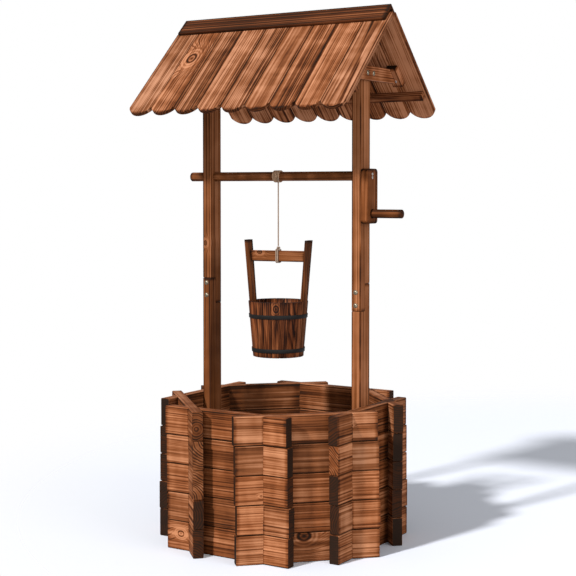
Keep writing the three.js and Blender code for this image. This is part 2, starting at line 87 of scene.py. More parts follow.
class Wire:
    """A socket of a finish's node tree, on which sums are written as on paper."""

    def __init__(self, tree, socket=None):
        self.tree = tree
        self.socket = socket

    def node(self, kind, settings, sockets, output=0):
        """Adds a node: its settings first, then its sockets' values or links."""
        made = self.tree.nodes.new(kind)
        for name, value in settings.items():
            if name == "stops":
                ramp = made.color_ramp
                while len(ramp.elements) < len(value):
                    ramp.elements.new(1)
                for stop, (place, colour) in zip(ramp.elements, value):
                    stop.position = place
                    stop.color = (*colour, 1)
            else:
                setattr(made, name, value)
        for name, value in sockets.items():
            if isinstance(value, Wire):
                self.tree.links.new(value.socket, made.inputs[name])
            else:
                made.inputs[name].default_value = value
        return Wire(self.tree, made.outputs[output])

    def out(self, name):
        return Wire(self.tree, self.socket.node.outputs[name])

    def math(self, operation, *others):
        values = dict(enumerate((self, *others)))
        return self.node("ShaderNodeMath", {"operation": operation}, values)

    def given(self, label, output="Vector"):
        """What the mesh carries under a label."""
        return self.node("ShaderNodeAttribute", {"attribute_name": label}, {}, output)

    def place(self):
        """Where a spot is in its object's space."""
        return self.node("ShaderNodeTexCoord", {}, {}, "Object")

    def into(self, shader, name):
        self.tree.links.new(self.socket, shader.inputs[name])

    def bump_into(self, shader, strength, distance):
        sockets = {"Strength": strength, "Distance": distance, "Height": self}
        self.node("ShaderNodeBump", {}, sockets).into(shader, "Normal")

    def __add__(self, other):
        return self.math("ADD", other)

    def __sub__(self, other):
        return self.math("SUBTRACT", other)

    def __rsub__(self, other):
        return self.node("ShaderNodeMath", {"operation": "SUBTRACT"}, {0: other, 1: self})

    def __mul__(self, other):
        return self.math("MULTIPLY", other)

    def __truediv__(self, other):
        return self.math("DIVIDE", other)

    def __pow__(self, other):
        return self.math("POWER", other)

    def rise(self, low, high, to_low=0.0, to_high=1.0):
        """Goes smoothly from to_low to to_high as the value goes from low to high."""
        return self.node(
            "ShaderNodeMapRange",
            {"interpolation_type": "SMOOTHSTEP"},
            {"Value": self, "From Min": low, "From Max": high, "To Min": to_low, "To Max": to_high},
        )

    def noise(self, stretch, detail, rough):
        """Cloudy values of 0 to 1 over this vector, stretched along each of its axes."""
        spread = self.node("ShaderNodeVectorMath", {"operation": "MULTIPLY"}, {0: self, 1: stretch})
        sockets = {"Vector": spread, "Scale": 1.0, "Detail": detail, "Roughness": rough}
        return self.node("ShaderNodeTexNoise", {}, sockets)

    def blend_value(self, first, second):
        """A value from first to second as this value goes from 0 to 1."""
        return self.node("ShaderNodeMix", {"data_type": "FLOAT"}, {0: self, 2: first, 3: second}, 0)

    def blend(self, first, second):
        """A colour from first to second as this value goes from 0 to 1."""
        settings = {"data_type": "RGBA", "clamp_factor": True}
        return self.node("ShaderNodeMix", settings, {0: self, 6: first, 7: second}, 2)


def new_finish(name):
    """An empty finish: its material, a first wire to write on, and its shader node."""
    material = bpy.data.materials.new(name)
    material.use_nodes = True
    tree = material.node_tree
    return material, Wire(tree), tree.nodes["Principled BSDF"]


def jute(name, pale, paler, groove_colour):
    material, wire, shader = new_finish(name)
    groove = wire.given("groove", "Fac")
    hairs = wire.place().noise((900, 900, 420), 3, 0.6)
    patches = wire.place().noise((60, 60, 45), 2, 0.5)
    worn = patches.blend(pale, paler)
    colour = (groove * 0.85 + hairs.rise(0.35, 0.75) * 0.25).blend(worn, groove_colour)
    colour.into(shader, "Base Color")
    hairs.bump_into(shader, 0.4, 0.0002)
    shader.inputs["Roughness"].default_value = 0.9
    return material


jute_rope = jute("jute", (0.19, 0.13, 0.092, 1), (0.30, 0.21, 0.15, 1), (0.07, 0.04, 0.024, 1))


def lay_rope(name, line, outwards):
    """Three twisted strands along a line of points, each with its own outward direction."""
    points, faces, grooves = [], [], []
    gone = 0.0
    for i, centre in enumerate(line):
        if i:
            gone += (centre - line[i - 1]).length
        along = (line[min(i + 1, len(line) - 1)] - line[max(i - 1, 0)]).normalized()
        side = along.cross(outwards[i]).normalized()
        out = side.cross(along)
        twist = gone / ROPE_LAY * 2 * math.pi
        for k in range(ROPE_SIDES):
            angle = 2 * math.pi * k / ROPE_SIDES
            swell = abs(math.cos(1.5 * (angle - twist)))
            radius = ROPE_RADIUS * (1 - STRAND_DEPTH + STRAND_DEPTH * swell ** 0.7)
            points.append(centre + out * radius * math.cos(angle) + side * radius * math.sin(angle))
            grooves.append((1 - swell) ** 2)
    for i in range(len(line) - 1):
        for k in range(ROPE_SIDES):
            a, b = i * ROPE_SIDES + k, i * ROPE_SIDES + (k + 1) % ROPE_SIDES
            faces.append((a, b, b + ROPE_SIDES, a + ROPE_SIDES))
    last = (len(line) - 1) * ROPE_SIDES
    faces.append(tuple(reversed(range(ROPE_SIDES))))
    faces.append(tuple(range(last, last + ROPE_SIDES)))
    mesh = bpy.data.meshes.new(name)
    mesh.from_pydata(points, [], faces)
    mesh.polygons.foreach_set("use_smooth", [len(f.vertices) == 4 for f in mesh.polygons])
    depth = mesh.attributes.new("groove", "FLOAT", "POINT")
    depth.data.foreach_set("value", grooves)
    mesh.materials.append(jute_rope)
    rope = bpy.data.objects.new(name, mesh)
    bpy.context.collection.objects.link(rope)
    return rope


drop_line = [
    Vector((ROPE_X, ROPE_Y, DROP_TOP + (DROP_FOOT - DROP_TOP) * step / DROP_STEPS))
    for step in range(DROP_STEPS + 1)
]
drop = lay_rope("free_rope", drop_line, [Vector((0, -1, 0))] * len(drop_line))
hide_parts("rope_drop")
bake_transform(drop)


# Planter walls. Forty scorched and brushed fir boards, five to each of the eight sides. Where two
# sides cross, one board keeps its lower half and the other its upper half, and both run on past
# the corner.
FAR = 9.0


def burnt_wood(
    name, pale, brown, dark, char, ring=0.0050, contrast=1.0, shine=0.5, scorch=1.0, foot_shade=0.0,
    banding=1.10, corner_place=FAR, crossing_shade=0.0,
):
    """Softwood sawn from a log: rings round the pith, fibres, knots and scorched edges. Shade is
    painted along a piece where another crosses it."""
    material, wire, shader = new_finish(name)

    def apart(vector):
        first = wire.node("ShaderNodeSeparateXYZ", {}, {0: vector}, "X")
        return first, first.out("Y"), first.out("Z")

    log = wire.given("log")
    _, across, deep = apart(log)
    knot_along, knot_across, knot_size = apart(wire.given("knot"))
    darkness, redness, soot = apart(wire.given("tone"))
    spot_along, spot_across, spot_deep = apart(wire.given("spot"))
    half_length, half_width, half_depth = apart(wire.given("half"))
    from_foot = spot_across + half_width
    sawn = wire.given("sawn", "Fac")

    # Growth rings round the pith. They waver, and bend round a knot.
    knot_far = (knot_along * knot_along * 0.55 + knot_across * knot_across) ** 0.5 / knot_size
    bend = knot_far.rise(0.6, 3.2, 1.0, 0.0) * knot_size * 1.3
    wave = (log.noise((2.6, 8, 8), 1, 0.4) - 0.5) * 0.010
    ripple = (log.noise((12, 60, 60), 2, 0.5) - 0.5) * 0.0018
    uneven = (log.noise((0.6, 34, 34), 1, 0.5) - 0.5) * 0.013
    rings = ((across * across + deep * deep) ** 0.5 + wave + ripple + uneven + bend) / ring
    step = rings.math("FRACT")
    ring_tone = wire.node(
        "ShaderNodeTexWhiteNoise", {"noise_dimensions": "1D"}, {"W": rings.math("FLOOR")}, "Value"
    )
    late = step.rise(0.25, 0.86) * step.rise(0.86, 1.0, 1.0, 0.0)
    knot_rings = (knot_far * 13.0).math("SINE") * 0.45 + 0.45
    knot_zone = knot_far.rise(1.1, 2.2, 1.0, 0.0)
    stripe = knot_zone.blend_value(late * (ring_tone * 1.4 + 0.15), knot_rings)

    # Fibres, streaks, bands and flames, from fine to coarse.
    fibre = log.noise((10, 600, 600), 3, 0.65)
    streak = log.noise((3.5, 170, 170), 2, 0.6)
    band = log.noise((2.2, 48, 48), 2, 0.55)
    flame = log.noise((26, 11, 11), 2, 0.5)
    figure = (
        (stripe - 0.3) * 0.36
        + (fibre - 0.5) * 0.40
        + (streak - 0.5) * 1.45
        + (band - 0.5) * banding
        + (flame - 0.5) * 0.78
    )
    depth = figure * contrast + darkness * 0.07 + 0.36

    # Scorched edges and ends, painted shade beside a crossing and in the valley between two sides,
    # and a painted shadow along each board's foot.
    low_edge = from_foot.rise(0.0, 0.0042, 1.0, 0.0)
    inward = half_width - spot_across
    high_edge = inward.rise(0.0014, 0.0022) * inward.rise(0.0022, 0.0060, 1.0, 0.0) * 0.6
    end_edge = (half_length - spot_along.math("ABSOLUTE")).rise(0.0, 0.009, 0.7, 0.0)
    broad = (half_depth - spot_deep.math("ABSOLUTE")).rise(0.0016, 0.0034, 1.0, 0.0)
    burnt = (low_edge.math("MAXIMUM", high_edge) * broad).math("MAXIMUM", end_edge)
    patchy = log.noise((22, 22, 22), 2, 0.6).rise(0.30, 0.62, 0.5, 1.15)
    # Painted shade: darker towards a crossing board, across the recess between crossings and in the
    # valley where two sides meet.
    inside = corner_place - spot_along.math("ABSOLUTE")
    recess = inside.rise(-0.004, 0.004) * inside.rise(0.006, 0.048, 1.0, 0.42)
    valley_shade = inside.math("ABSOLUTE").rise(0.0005, 0.0062, 0.75, 0.0)
    painted_shade = recess.math("MAXIMUM", valley_shade) * inward.rise(0.0004, 0.0020) * crossing_shade
    # Painted shadow: a dark line along the foot of each board, where the gap under it lies in
    # shade.
    foot_shade_line = from_foot.rise(0.0008, 0.0024, foot_shade, 0.0)
    depth = depth + burnt * patchy * 0.66 * scorch + foot_shade_line + painted_shade

    # A knot has a dark core with a rim and a heart, and a pale halo. A sawn end shows only rings.
    core = knot_far.rise(0.50, 0.62, 1.0, 0.0)
    rim = knot_far.rise(0.40, 0.56) * knot_far.rise(0.60, 0.80, 1.0, 0.0)
    heart = knot_far.rise(0.02, 0.20, 1.0, 0.0)
    halo = knot_far.rise(0.72, 0.95) * knot_far.rise(1.0, 2.0, 1.0, 0.0)
    depth = depth - halo * 0.28 + core * 0.08 + rim * 0.36 + heart * 0.30
    bare = 1.3 - soot
    end_rings = ((stripe - 0.4) * 0.80 + (log.noise((1, 60, 60), 2, 0.5) - 0.5) * 0.9) * bare + soot
    depth = sawn.blend_value(depth, end_rings)

    stops = ((0.0, pale), (0.40, brown), (0.74, dark), (1.0, char))
    colour = wire.node("ShaderNodeValToRGB", {"stops": stops}, {0: depth}, "Color")
    red = (redness * 0.25 + 0.5).blend((1.12, 1.0, 0.86, 1), (0.88, 1.0, 1.15, 1))
    tint = {"data_type": "RGBA", "blend_type": "MULTIPLY"}
    colour = wire.node("ShaderNodeMix", tint, {0: 1.0, 6: colour, 7: red}, 2)
    colour.into(shader, "Base Color")

    height = late * -0.4 + fibre * 0.5 + streak * 0.5 - core * 0.5
    height.bump_into(shader, 0.5, 0.0007)
    rough = (depth * 0.16 + fibre * 0.12 + shine).math("MINIMUM", 0.9)
    rough.into(shader, "Roughness")
    shader.inputs["Specular IOR Level"].default_value = 0.05
    return material


wall_wood = burnt_wood(
    "wall_wood", pale=(0.335, 0.144, 0.069), brown=(0.148, 0.0462, 0.0148),
    dark=(0.048, 0.0125, 0.003), char=(0.014, 0.007, 0.004), contrast=0.77, scorch=0.62, foot_shade=0.5,
    corner_place=0.0878, crossing_shade=0.40,
)
chance = random.Random(41)
NO_KNOT = (FAR, FAR, 0.006)
OFF_HEART_SHARE = 0.72
OVERRUN = 0.02
NEAR = 0.001


def take(*pieces):
    """Selects these pieces and nothing else, with the first as the one that is worked on."""
    bpy.ops.object.select_all(action="DESELECT")
    for piece in pieces:
        piece.select_set(True)
    if pieces:
        bpy.context.view_layer.objects.active = pieces[0]


def start_block(name, low, high):
    """A block between two corners, ready to be shaped."""
    take()
    middle = [(a + b) / 2 for a, b in zip(low, high)]
    bpy.ops.mesh.primitive_cube_add(size=1, location=middle)
    piece = bpy.context.active_object
    piece.name = name
    piece.data.name = name
    piece.scale = [b - a for a, b in zip(low, high)]
    bpy.ops.object.transform_apply()
    return piece


def pick(piece, kind, wanted):
    """Selects the faces, edges or corners whose middle is wanted, and goes into edit mode."""
    take(piece)
    bpy.ops.object.mode_set(mode="EDIT")
    bpy.ops.mesh.select_mode(type=kind)
    bpy.ops.mesh.select_all(action="DESELECT")
    bpy.ops.object.mode_set(mode="OBJECT")
    mesh = piece.data
    if kind == "FACE":
        for face in mesh.polygons:
            face.select = bool(wanted(face.center, face.normal))
    elif kind == "EDGE":
        for edge in mesh.edges:
            first, last = (mesh.vertices[i].co for i in edge.vertices)
            edge.select = bool(wanted((first + last) / 2, (last - first).normalized()))
    else:
        for corner in mesh.vertices:
            corner.select = bool(wanted(corner.co, None))
    bpy.ops.object.mode_set(mode="EDIT")


def leave():
    bpy.ops.object.mode_set(mode="OBJECT")


def saw_across(piece, place, facing, drop=False):
    """Saws all of a piece along a plane, and drops the side that the plane faces if asked."""
    pick(piece, "FACE", lambda middle, normal: True)
    bpy.ops.mesh.bisect(plane_co=place, plane_no=facing, use_fill=drop, clear_outer=drop)
    leave()


def finish_modifier(piece, modifier):
    take(piece)
    bpy.ops.object.modifier_apply(modifier=modifier.name)


def ease_edges(piece, width, segments=2, angle=35):
    """Takes the sharpness off every edge that is sharper than the angle."""
    bevel = piece.modifiers.new("eased", "BEVEL")
    bevel.width = width
    bevel.segments = segments
    bevel.limit_method = "ANGLE"
    bevel.angle_limit = math.radians(angle)
    bevel.use_clamp_overlap = True
    finish_modifier(piece, bevel)


def saw_out(piece, tool):
    """Takes the tool's shape out of the piece."""
    cut = piece.modifiers.new("cut", "BOOLEAN")
    cut.operation = "DIFFERENCE"
    cut.solver = "EXACT"
    cut.object = tool
    finish_modifier(piece, cut)
    bpy.data.objects.remove(tool)


def copy_piece(master, name):
    piece = master.copy()
    piece.data = master.data.copy()
    piece.name = name
    piece.data.name = name
    bpy.context.collection.objects.link(piece)
    return piece


def grain(
    piece, along, across, pith=None, knot=None, tone=None, edges=True, drawn=1.0, shaded_side=(0, 0, 0)
):
    """Says how a piece lies in its log, from its present place: which way the fibres run, where
    the pith is, and where a knot sits on it. The finish draws rings, knots and sawn ends by it.
    A small value of drawn draws the figure out along the piece. A piece without edges has none
    burnt, and a side that faces the given shaded side is painted dark like a sawn end, as painted
    shade."""
    mesh = piece.data
    along, across = Vector(along), Vector(across)
    ways = (along, across, along.cross(across))
    spans = [[corner.co.dot(way) for corner in mesh.vertices] for way in ways]
    middle = [(min(span) + max(span)) / 2 for span in spans]
    half = [(max(span) - min(span)) / 2 for span in spans]
    if not edges:
        half[1] = FAR
    if pith is None:
        side = chance.choice((-1, 1))
        if knot or chance.random() < OFF_HEART_SHARE:
            pith = (side * chance.uniform(0.045, 0.12), chance.uniform(-0.05, 0.05))
        else:
            pith = (chance.uniform(-0.020, 0.020), side * chance.uniform(0.010, 0.060))
    shift = chance.uniform(3, 30)
    knot = knot or NO_KNOT
    if tone is None:
        tone = (chance.uniform(-1, 1), chance.uniform(-1, 1), chance.uniform(0.55, 0.95))
    marks = {"log": [], "knot": [], "tone": [], "spot": [], "half": []}
    for place in zip(*spans):
        a, b, c = (value - centre for value, centre in zip(place, middle))
        marks["log"].extend((a * drawn + shift, b - pith[0], c - pith[1]))
        marks["knot"].extend((a - knot[0], b - knot[1], knot[2]))
        marks["tone"].extend(tone)
        marks["spot"].extend((a, b, c))
        marks["half"].extend(half)
    for label, values in marks.items():
        layer = mesh.attributes.new(label, "FLOAT_VECTOR", "POINT")
        layer.data.foreach_set("vector", values)
    shaded_side = Vector(shaded_side)
    # Faces along the grain are end grain. Faces towards the given shaded side are painted near
    # black as painted shade.
    ends = mesh.attributes.new("sawn", "FLOAT", "FACE")
    ends.data.foreach_set("value", [
        1.0 if max(abs(face.normal.dot(along)), face.normal.dot(shaded_side)) > 0.75 else 0.0
        for face in mesh.polygons
    ])


def place_piece(piece, matrix):
    """Puts a shaped piece in its place, in its mesh, and leaves its object at the origin."""
    piece.data.transform(matrix)
    if matrix.determinant() < 0:
        piece.data.flip_normals()
    piece.data.update()


def settle(piece, material, body, slot, *stands_for):
    """Gives a piece its finish, the body that it moves with, and the solid that it stands for."""
    piece.data.materials.clear()
    piece.data.materials.append(material)
    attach(piece, body)
    if stands_for:
        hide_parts(*stands_for)


BOARD_HEIGHT = 0.060
BOARD_THICKNESS = 0.022
WALL_MIDDLE = 0.212
WALL_REACH = 0.15237
CROSSING = WALL_MIDDLE * math.tan(math.pi / 8)
LAP_GAP = 0.0003
COURSE_GAP = 0.0010
EIGHTH = math.pi / 4
LONG_EDGE_EASE = 0.0022
END_EASE = 0.0006
NOTCH_REACH = 0.06


def cut_notch(board, kept_half, place, turn):
    """Cuts a half lap's notch, above or below the half that the board keeps."""
    low, high = -OVERRUN, (BOARD_HEIGHT + LAP_GAP) / 2
    if kept_half == "lower":
        low, high = BOARD_HEIGHT - high, BOARD_HEIGHT - low
    half = BOARD_THICKNESS / 2 + LAP_GAP
    notch = start_block("notch", (-NOTCH_REACH, -half, low), (NOTCH_REACH, half, high))
    notch.data.transform(Matrix.Translation((place, 0, 0)) @ Matrix.Rotation(turn, 4, "Z"))
    saw_out(board, notch)


def wall_board(kept_half):
    """A wall board, with a notch at each crossing."""
    board = start_block(
        f"board_{kept_half}",
        (-WALL_REACH, -BOARD_THICKNESS / 2, 0),
        (WALL_REACH, BOARD_THICKNESS / 2, BOARD_HEIGHT - COURSE_GAP),
    )
    pick(board, "EDGE", lambda middle, run: abs(run.x) > 0.9)
    bpy.ops.mesh.bevel(offset=LONG_EDGE_EASE, segments=3, affect="EDGES")
    leave()
    pick(board, "EDGE", lambda middle, run: abs(middle.x) > WALL_REACH - NEAR / 10)
    bpy.ops.mesh.bevel(offset=END_EASE, segments=1, affect="EDGES")
    leave()
    for side in (-1, 1):
        cut_notch(board, kept_half, side * CROSSING, side * EIGHTH)
    return board


board_masters = {half: wall_board(half) for half in ("lower", "upper")}
SIDES = ("front", "front_right", "right", "back_right", "back", "back_left", "left", "front_left")
WALL_KNOTS = {
    ("front", 0): (-0.114, 0.005, 0.0090),
    ("front_right", 0): (-0.010, 0.024, 0.015),
    ("front_right", 2): (-0.097, -0.011, 0.0030),
    ("front_right", 4): (0.093, 0.004, 0.0034),
    ("left", 1): (0.050, 0.004, 0.007),
    ("back", 3): (0.040, -0.006, 0.006),
    ("back_left", 2): (-0.060, 0.008, 0.007),
    ("back_right", 0): (0.070, 0.002, 0.006),
}
END_LOOKS = {
    ("front_left", 4): (0.76, (-0.005, 0.004)),
    ("front_left", 3): (0.62, (0.034, -0.020)),
    ("front_left", 2): (0.60, (-0.030, 0.022)),
    ("front_left", 1): (1.00, (0.002, 0.040)),
    ("front_left", 0): (0.94, (-0.050, 0.020)),
    ("right", 3): (0.62, (-0.050, -0.045)),
}
END_TRIM = 0.0034
COURSE_SLIDES = (0.0018, 0.0034, 0.0004, 0.0, -0.0030)
for side, side_name in enumerate(SIDES):
    for course, slide in enumerate(COURSE_SLIDES):
        half = "lower" if side % 2 == 0 else "upper"
        board = copy_piece(board_masters[half], f"wall_{side_name}_board_{course + 1}")
        for corner in board.data.vertices:
            if abs(corner.co.x) > WALL_REACH - 2 * NEAR:
                corner.co.x += slide - math.copysign(END_TRIM, corner.co.x)
        soot, pith = END_LOOKS.get((side_name, course), (chance.uniform(0.94, 1.10), None))
        grain(
            board, (1, 0, 0), (0, 0, 1), pith, WALL_KNOTS.get((side_name, course)),
            tone=(chance.uniform(-1, 1), chance.uniform(-1, 1), soot),
        )
        place_piece(
            board,
            Matrix.Rotation(side * EIGHTH, 4, "Z")
            @ Matrix.Translation((0, -WALL_MIDDLE, course * BOARD_HEIGHT)),
        )
        settle(board, wall_wood, "well", "wall_wood", f"wall_{side_name}")
for master in board_masters.values():
    bpy.data.objects.remove(master)


# Floor of the planter. Two bearers of the same board, half lapped into a cross that stands on the
# ground, and three slats on them, sawn to the octagon. They are hidden once the planter is filled.
FLOOR_REACH = 0.2007
FLOOR_EASE = 0.0012


def floor_bearer(kept_half, turn):
    half = BOARD_THICKNESS / 2
    bearer = start_block(
        f"floor_bearer_{kept_half}_board",
        (-FLOOR_REACH, -half, 0), (FLOOR_REACH, half, BOARD_HEIGHT),
    )
    cut_notch(bearer, kept_half, 0, 2 * EIGHTH)
    ease_edges(bearer, FLOOR_EASE)
    grain(bearer, (1, 0, 0), (0, 0, 1))
    place_piece(bearer, Matrix.Rotation(turn, 4, "Z"))
    settle(bearer, wall_wood, "well", "wall_wood", f"floor_bearer_{kept_half}")


floor_bearer("lower", EIGHTH)
floor_bearer("upper", -EIGHTH)

SLAT_FOOT = 0.0603
SLAT_HEAD = 0.0743
SLAT_SPACING = 0.104
SLAT_HALF_WIDTH = 0.048
FLOOR_CORNER = FLOOR_REACH * math.tan(math.pi / 8)
for name, place in (("left", -1), ("middle", 0), ("right", 1)):
    middle = place * SLAT_SPACING
    slat = start_block(
        f"floor_slat_{name}_board", (middle - SLAT_HALF_WIDTH, -FLOOR_REACH, SLAT_FOOT),
        (middle + SLAT_HALF_WIDTH, FLOOR_REACH, SLAT_HEAD),
    )
    if place:
        for end in (-1, 1):
            corner = (place * FLOOR_CORNER, end * FLOOR_REACH, 0)
            saw_across(slat, corner, (place, end, 0), drop=True)
    ease_edges(slat, FLOOR_EASE)
    grain(slat, (0, 1, 0), (1, 0, 0))
    settle(slat, wall_wood, "well", "wall_wood", f"floor_slat_{name}")


# Posts. Each post is two lengths of stained fir, half lapped front to back and held by two bolts.
# The right post's upper length is in front at the lap, and the left post's lower one.
POST_OUTSIDE = 0.2007
POST_INSIDE = 0.1792
POST_HALF_DEPTH = 0.020
POST_HEAD = 1.006
LAP_FOOT = 0.4975
LAP_HEAD = 0.5545
POST_EASE = 0.0013
AXLE_HEIGHT = 0.779
AXLE_HOLE_RADIUS = 0.0104

post_wood = burnt_wood(
    "post_wood", pale=(0.262, 0.104, 0.046), brown=(0.130, 0.040, 0.011),
    dark=(0.048, 0.013, 0.003), char=(0.014, 0.006, 0.003), ring=0.0044, contrast=0.70, shine=0.50,
)


def post_length(name, foot, head, lap_end, tongue_side):
    """A length of post with a tongue of half its depth at the end that is lapped."""
    length = start_block(
        name, (POST_INSIDE, -POST_HALF_DEPTH, foot), (POST_OUTSIDE, POST_HALF_DEPTH, head)
    )
    up = lap_end > head
    saw_across(length, (0, tongue_side * LAP_GAP / 2, 0), (0, 1, 0))
    pick(
        length, "FACE",
        lambda middle, normal: (normal.z > 0.9 if up else normal.z < -0.9)
        and middle.y * tongue_side > 0,
    )
    reach = lap_end - (head if up else foot)
    bpy.ops.mesh.extrude_region_move(TRANSFORM_OT_translate={"value": (0, 0, reach)})
    leave()
    ease_edges(length, POST_EASE)
    return length


def start_round(name, radius, length, middle, sides, turn=0):
    """A round piece that stands on end, or lies along X after a quarter turn."""
    take()
    bpy.ops.mesh.primitive_cylinder_add(
        vertices=sides, radius=radius, depth=length, location=middle, rotation=(0, turn, 0)
    )
    piece = bpy.context.active_object
    piece.name = name
    bpy.ops.object.transform_apply()
    return piece


def round_bar(name, radius, left, right, height):
    """A round bar along X, to be shaped, or to bore a hole with."""
    middle = ((left + right) / 2, 0, height)
    return start_round(name, radius, right - left, middle, sides=48, turn=math.pi / 2)


POST_LOOKS = {
    ("right", "lower"): ((0, 1, 0), (0.070, 0.030), None, (-1.9, -0.5, 0.8)),
    ("right", "upper"): ((0, 1, 0), (-0.065, 0.040), None, (-2.2, -0.2, 0.8)),
    ("left", "lower"): ((1, 0, 0), (0.060, -0.045), None, (0.9, -0.1, 0.8)),
    ("left", "upper"): ((1, 0, 0), (0.055, 0.035), (-0.120, -0.004, 0.0060), (0.8, 0.1, 0.8)),
}


def post(side_name, lower_tongue):
    gap = LAP_GAP / 2
    lower = post_length(
        f"{side_name}_post_lower_length", 0, LAP_FOOT - gap, LAP_HEAD - gap, lower_tongue
    )
    upper = post_length(
        f"{side_name}_post_upper_length", LAP_HEAD + gap, POST_HEAD, LAP_FOOT + gap, -lower_tongue
    )
    saw_out(upper, round_bar(
        "hole", AXLE_HOLE_RADIUS, POST_INSIDE - OVERRUN, POST_OUTSIDE + OVERRUN, AXLE_HEIGHT
    ))
    for part, length in (("lower", lower), ("upper", upper)):
        if side_name == "left":
            place_piece(length, Matrix.Translation((-POST_INSIDE - POST_OUTSIDE, 0, 0)))
        grain(length, (0, 0, 1), *POST_LOOKS[side_name, part], drawn=0.6)
        settle(length, post_wood, "well", "post_wood", f"{side_name}_post_{part}")


ENDS = {"right": 1, "left": -1}
for side_name, end in ENDS.items():
    post(side_name, end)


# Roof boards. Eighteen thin scorched fir boards, nine to a slope, with rounded lower ends. They are
# nailed from inside and meet under the ridge caps.
SLOPES = {"front": 1, "back": -1}
ROOF_BOARDS = 9
ROOF_RIDGE = 1.1205
ROOF_SPACING = 0.0594
ROOF_HALF_WIDTH = 0.02955
ROOF_THICKNESS = 0.009
ROOF_HEAD = 0.0093
ROOF_FOOT = 0.295
ROOF_RISE = 0.020
ROOF_END_CUTS = 23
ROOF_EASE = 0.0013
DOWN_SLOPE = math.pi / 4 - math.pi

roof_wood = burnt_wood(
    "roof_wood", pale=(0.350, 0.157, 0.083), brown=(0.156, 0.051, 0.0175),
    dark=(0.048, 0.012, 0.003), char=(0.013, 0.006, 0.003), contrast=0.94, shine=0.52, banding=0.72,
)


def slope_place(slope, along=0.0):
    """From a slope's own directions, along the ridge, down it and inwards, to the well's."""
    turn = Matrix.Rotation(math.pi, 4, "Z") if slope == "back" else Matrix.Identity(4)
    return (
        Matrix.Translation((0, 0, ROOF_RIDGE))
        @ turn
        @ Matrix.Rotation(DOWN_SLOPE, 4, "X")
        @ Matrix.Translation((along, 0, 0))
    )


def roof_board_master():
    board = start_block(
        "roof_board", (-ROOF_HALF_WIDTH, ROOF_HEAD, 0),
        (ROOF_HALF_WIDTH, ROOF_FOOT - ROOF_RISE, ROOF_THICKNESS),
    )
    pick(board, "EDGE", lambda middle, run: abs(run.x) > 0.9)
    bpy.ops.mesh.subdivide(number_cuts=ROOF_END_CUTS)
    leave()
    radius = (ROOF_HALF_WIDTH ** 2 + ROOF_RISE ** 2) / (2 * ROOF_RISE)
    for corner in board.data.vertices:
        if corner.co.y > ROOF_FOOT - ROOF_RISE - NEAR:
            corner.co.y = ROOF_FOOT - radius + math.sqrt(radius ** 2 - corner.co.x ** 2)
    ease_edges(board, ROOF_EASE, 3, 30)
    return board


ROOF_KNOTS = {
    ("front", 2): (-0.031, -0.004, 0.0165),
    ("back", 4): (0.030, 0.006, 0.006),
    ("back", 8): (-0.060, -0.004, 0.007),
}
ROOF_TONES = (-0.4, 0.2, 1.4, -1.0, 0.2, 0.8, 2.4, 0.2, -1.2)
# Painted light: the back slope's boards are paler and redder than the front's, to brighten and warm
# their underside, which is seen in shade.
BACK_SHADE_LIFT = (-2.0, -1.6)
roof_master = roof_board_master()
for slope, way in SLOPES.items():
    paler, redder = BACK_SHADE_LIFT if slope == "back" else (0, 0)
    for number in range(1, ROOF_BOARDS + 1):
        place = (number - (ROOF_BOARDS + 1) / 2) * ROOF_SPACING * way
        board = copy_piece(roof_master, f"roof_{slope}_plank_{number}")
        grain(
            board, (0, 1, 0), (1, 0, 0), knot=ROOF_KNOTS.get((slope, number)),
            tone=(ROOF_TONES[number - 1] + paler, chance.uniform(-1, 1) + redder, 0.8),
        )
        place_piece(board, slope_place(slope, place))
        settle(board, roof_wood, "well", "roof_wood", f"roof_{slope}_board_{number}")
bpy.data.objects.remove(roof_master)


# Ridge. Two fir cap boards, mitred together along the ridge, lie on the boards' heads. A beam under
# the heads, planed to both slopes, takes the nails.
CAP_HALF_LENGTH = 0.26015
CAP_REACH = 0.038
CAP_THICKNESS = 0.007
CAP_EASE = 0.0012


def ridge_cap(slope):
    cap = start_block(
        f"ridge_cap_{slope}_board",
        (-CAP_HALF_LENGTH, 0, -CAP_THICKNESS - LAP_GAP), (CAP_HALF_LENGTH, CAP_REACH, -LAP_GAP),
    )
    mitre_gap = LAP_GAP / 2 / math.cos(math.pi / 4)
    for corner in cap.data.vertices:
        if corner.co.y < NEAR:
            corner.co.y = corner.co.z + mitre_gap
    ease_edges(cap, CAP_EASE, 3, 30)
    grain(cap, (1, 0, 0), (0, 1, 0), pith=(0.090, 0.020), tone=(5.8, 0.2, 0.9), drawn=0.25)
    place_piece(cap, slope_place(slope))
    settle(cap, roof_wood, "well", "roof_wood", f"ridge_cap_{slope}")


for slope in SLOPES:
    ridge_cap(slope)

BEAM_HALF_WIDTH = 0.015
BEAM_DEPTH = 0.034
BEAM_EASE = 0.0010
BEAM_TOP = ROOF_RIDGE - (ROOF_THICKNESS + 2 * LAP_GAP) * math.sqrt(2)
beam = start_block(
    "ridge_beam_timber",
    (-POST_OUTSIDE, -BEAM_HALF_WIDTH, BEAM_TOP - BEAM_DEPTH),
    (POST_OUTSIDE, BEAM_HALF_WIDTH, BEAM_TOP - BEAM_HALF_WIDTH),
)
pick(beam, "FACE", lambda middle, normal: normal.z > 0.9)
bpy.ops.mesh.extrude_region_move(TRANSFORM_OT_translate={"value": (0, 0, BEAM_HALF_WIDTH)})
leave()
for corner in beam.data.vertices:
    if corner.co.z > BEAM_TOP - NEAR:
        corner.co.y = 0
pick(beam, "VERT", lambda middle, normal: True)
bpy.ops.mesh.remove_doubles(threshold=NEAR / 100)
leave()
ease_edges(beam, BEAM_EASE)
grain(beam, (1, 0, 0), (0, 1, 0))
settle(beam, roof_wood, "well", "roof_wood", "ridge_beam")


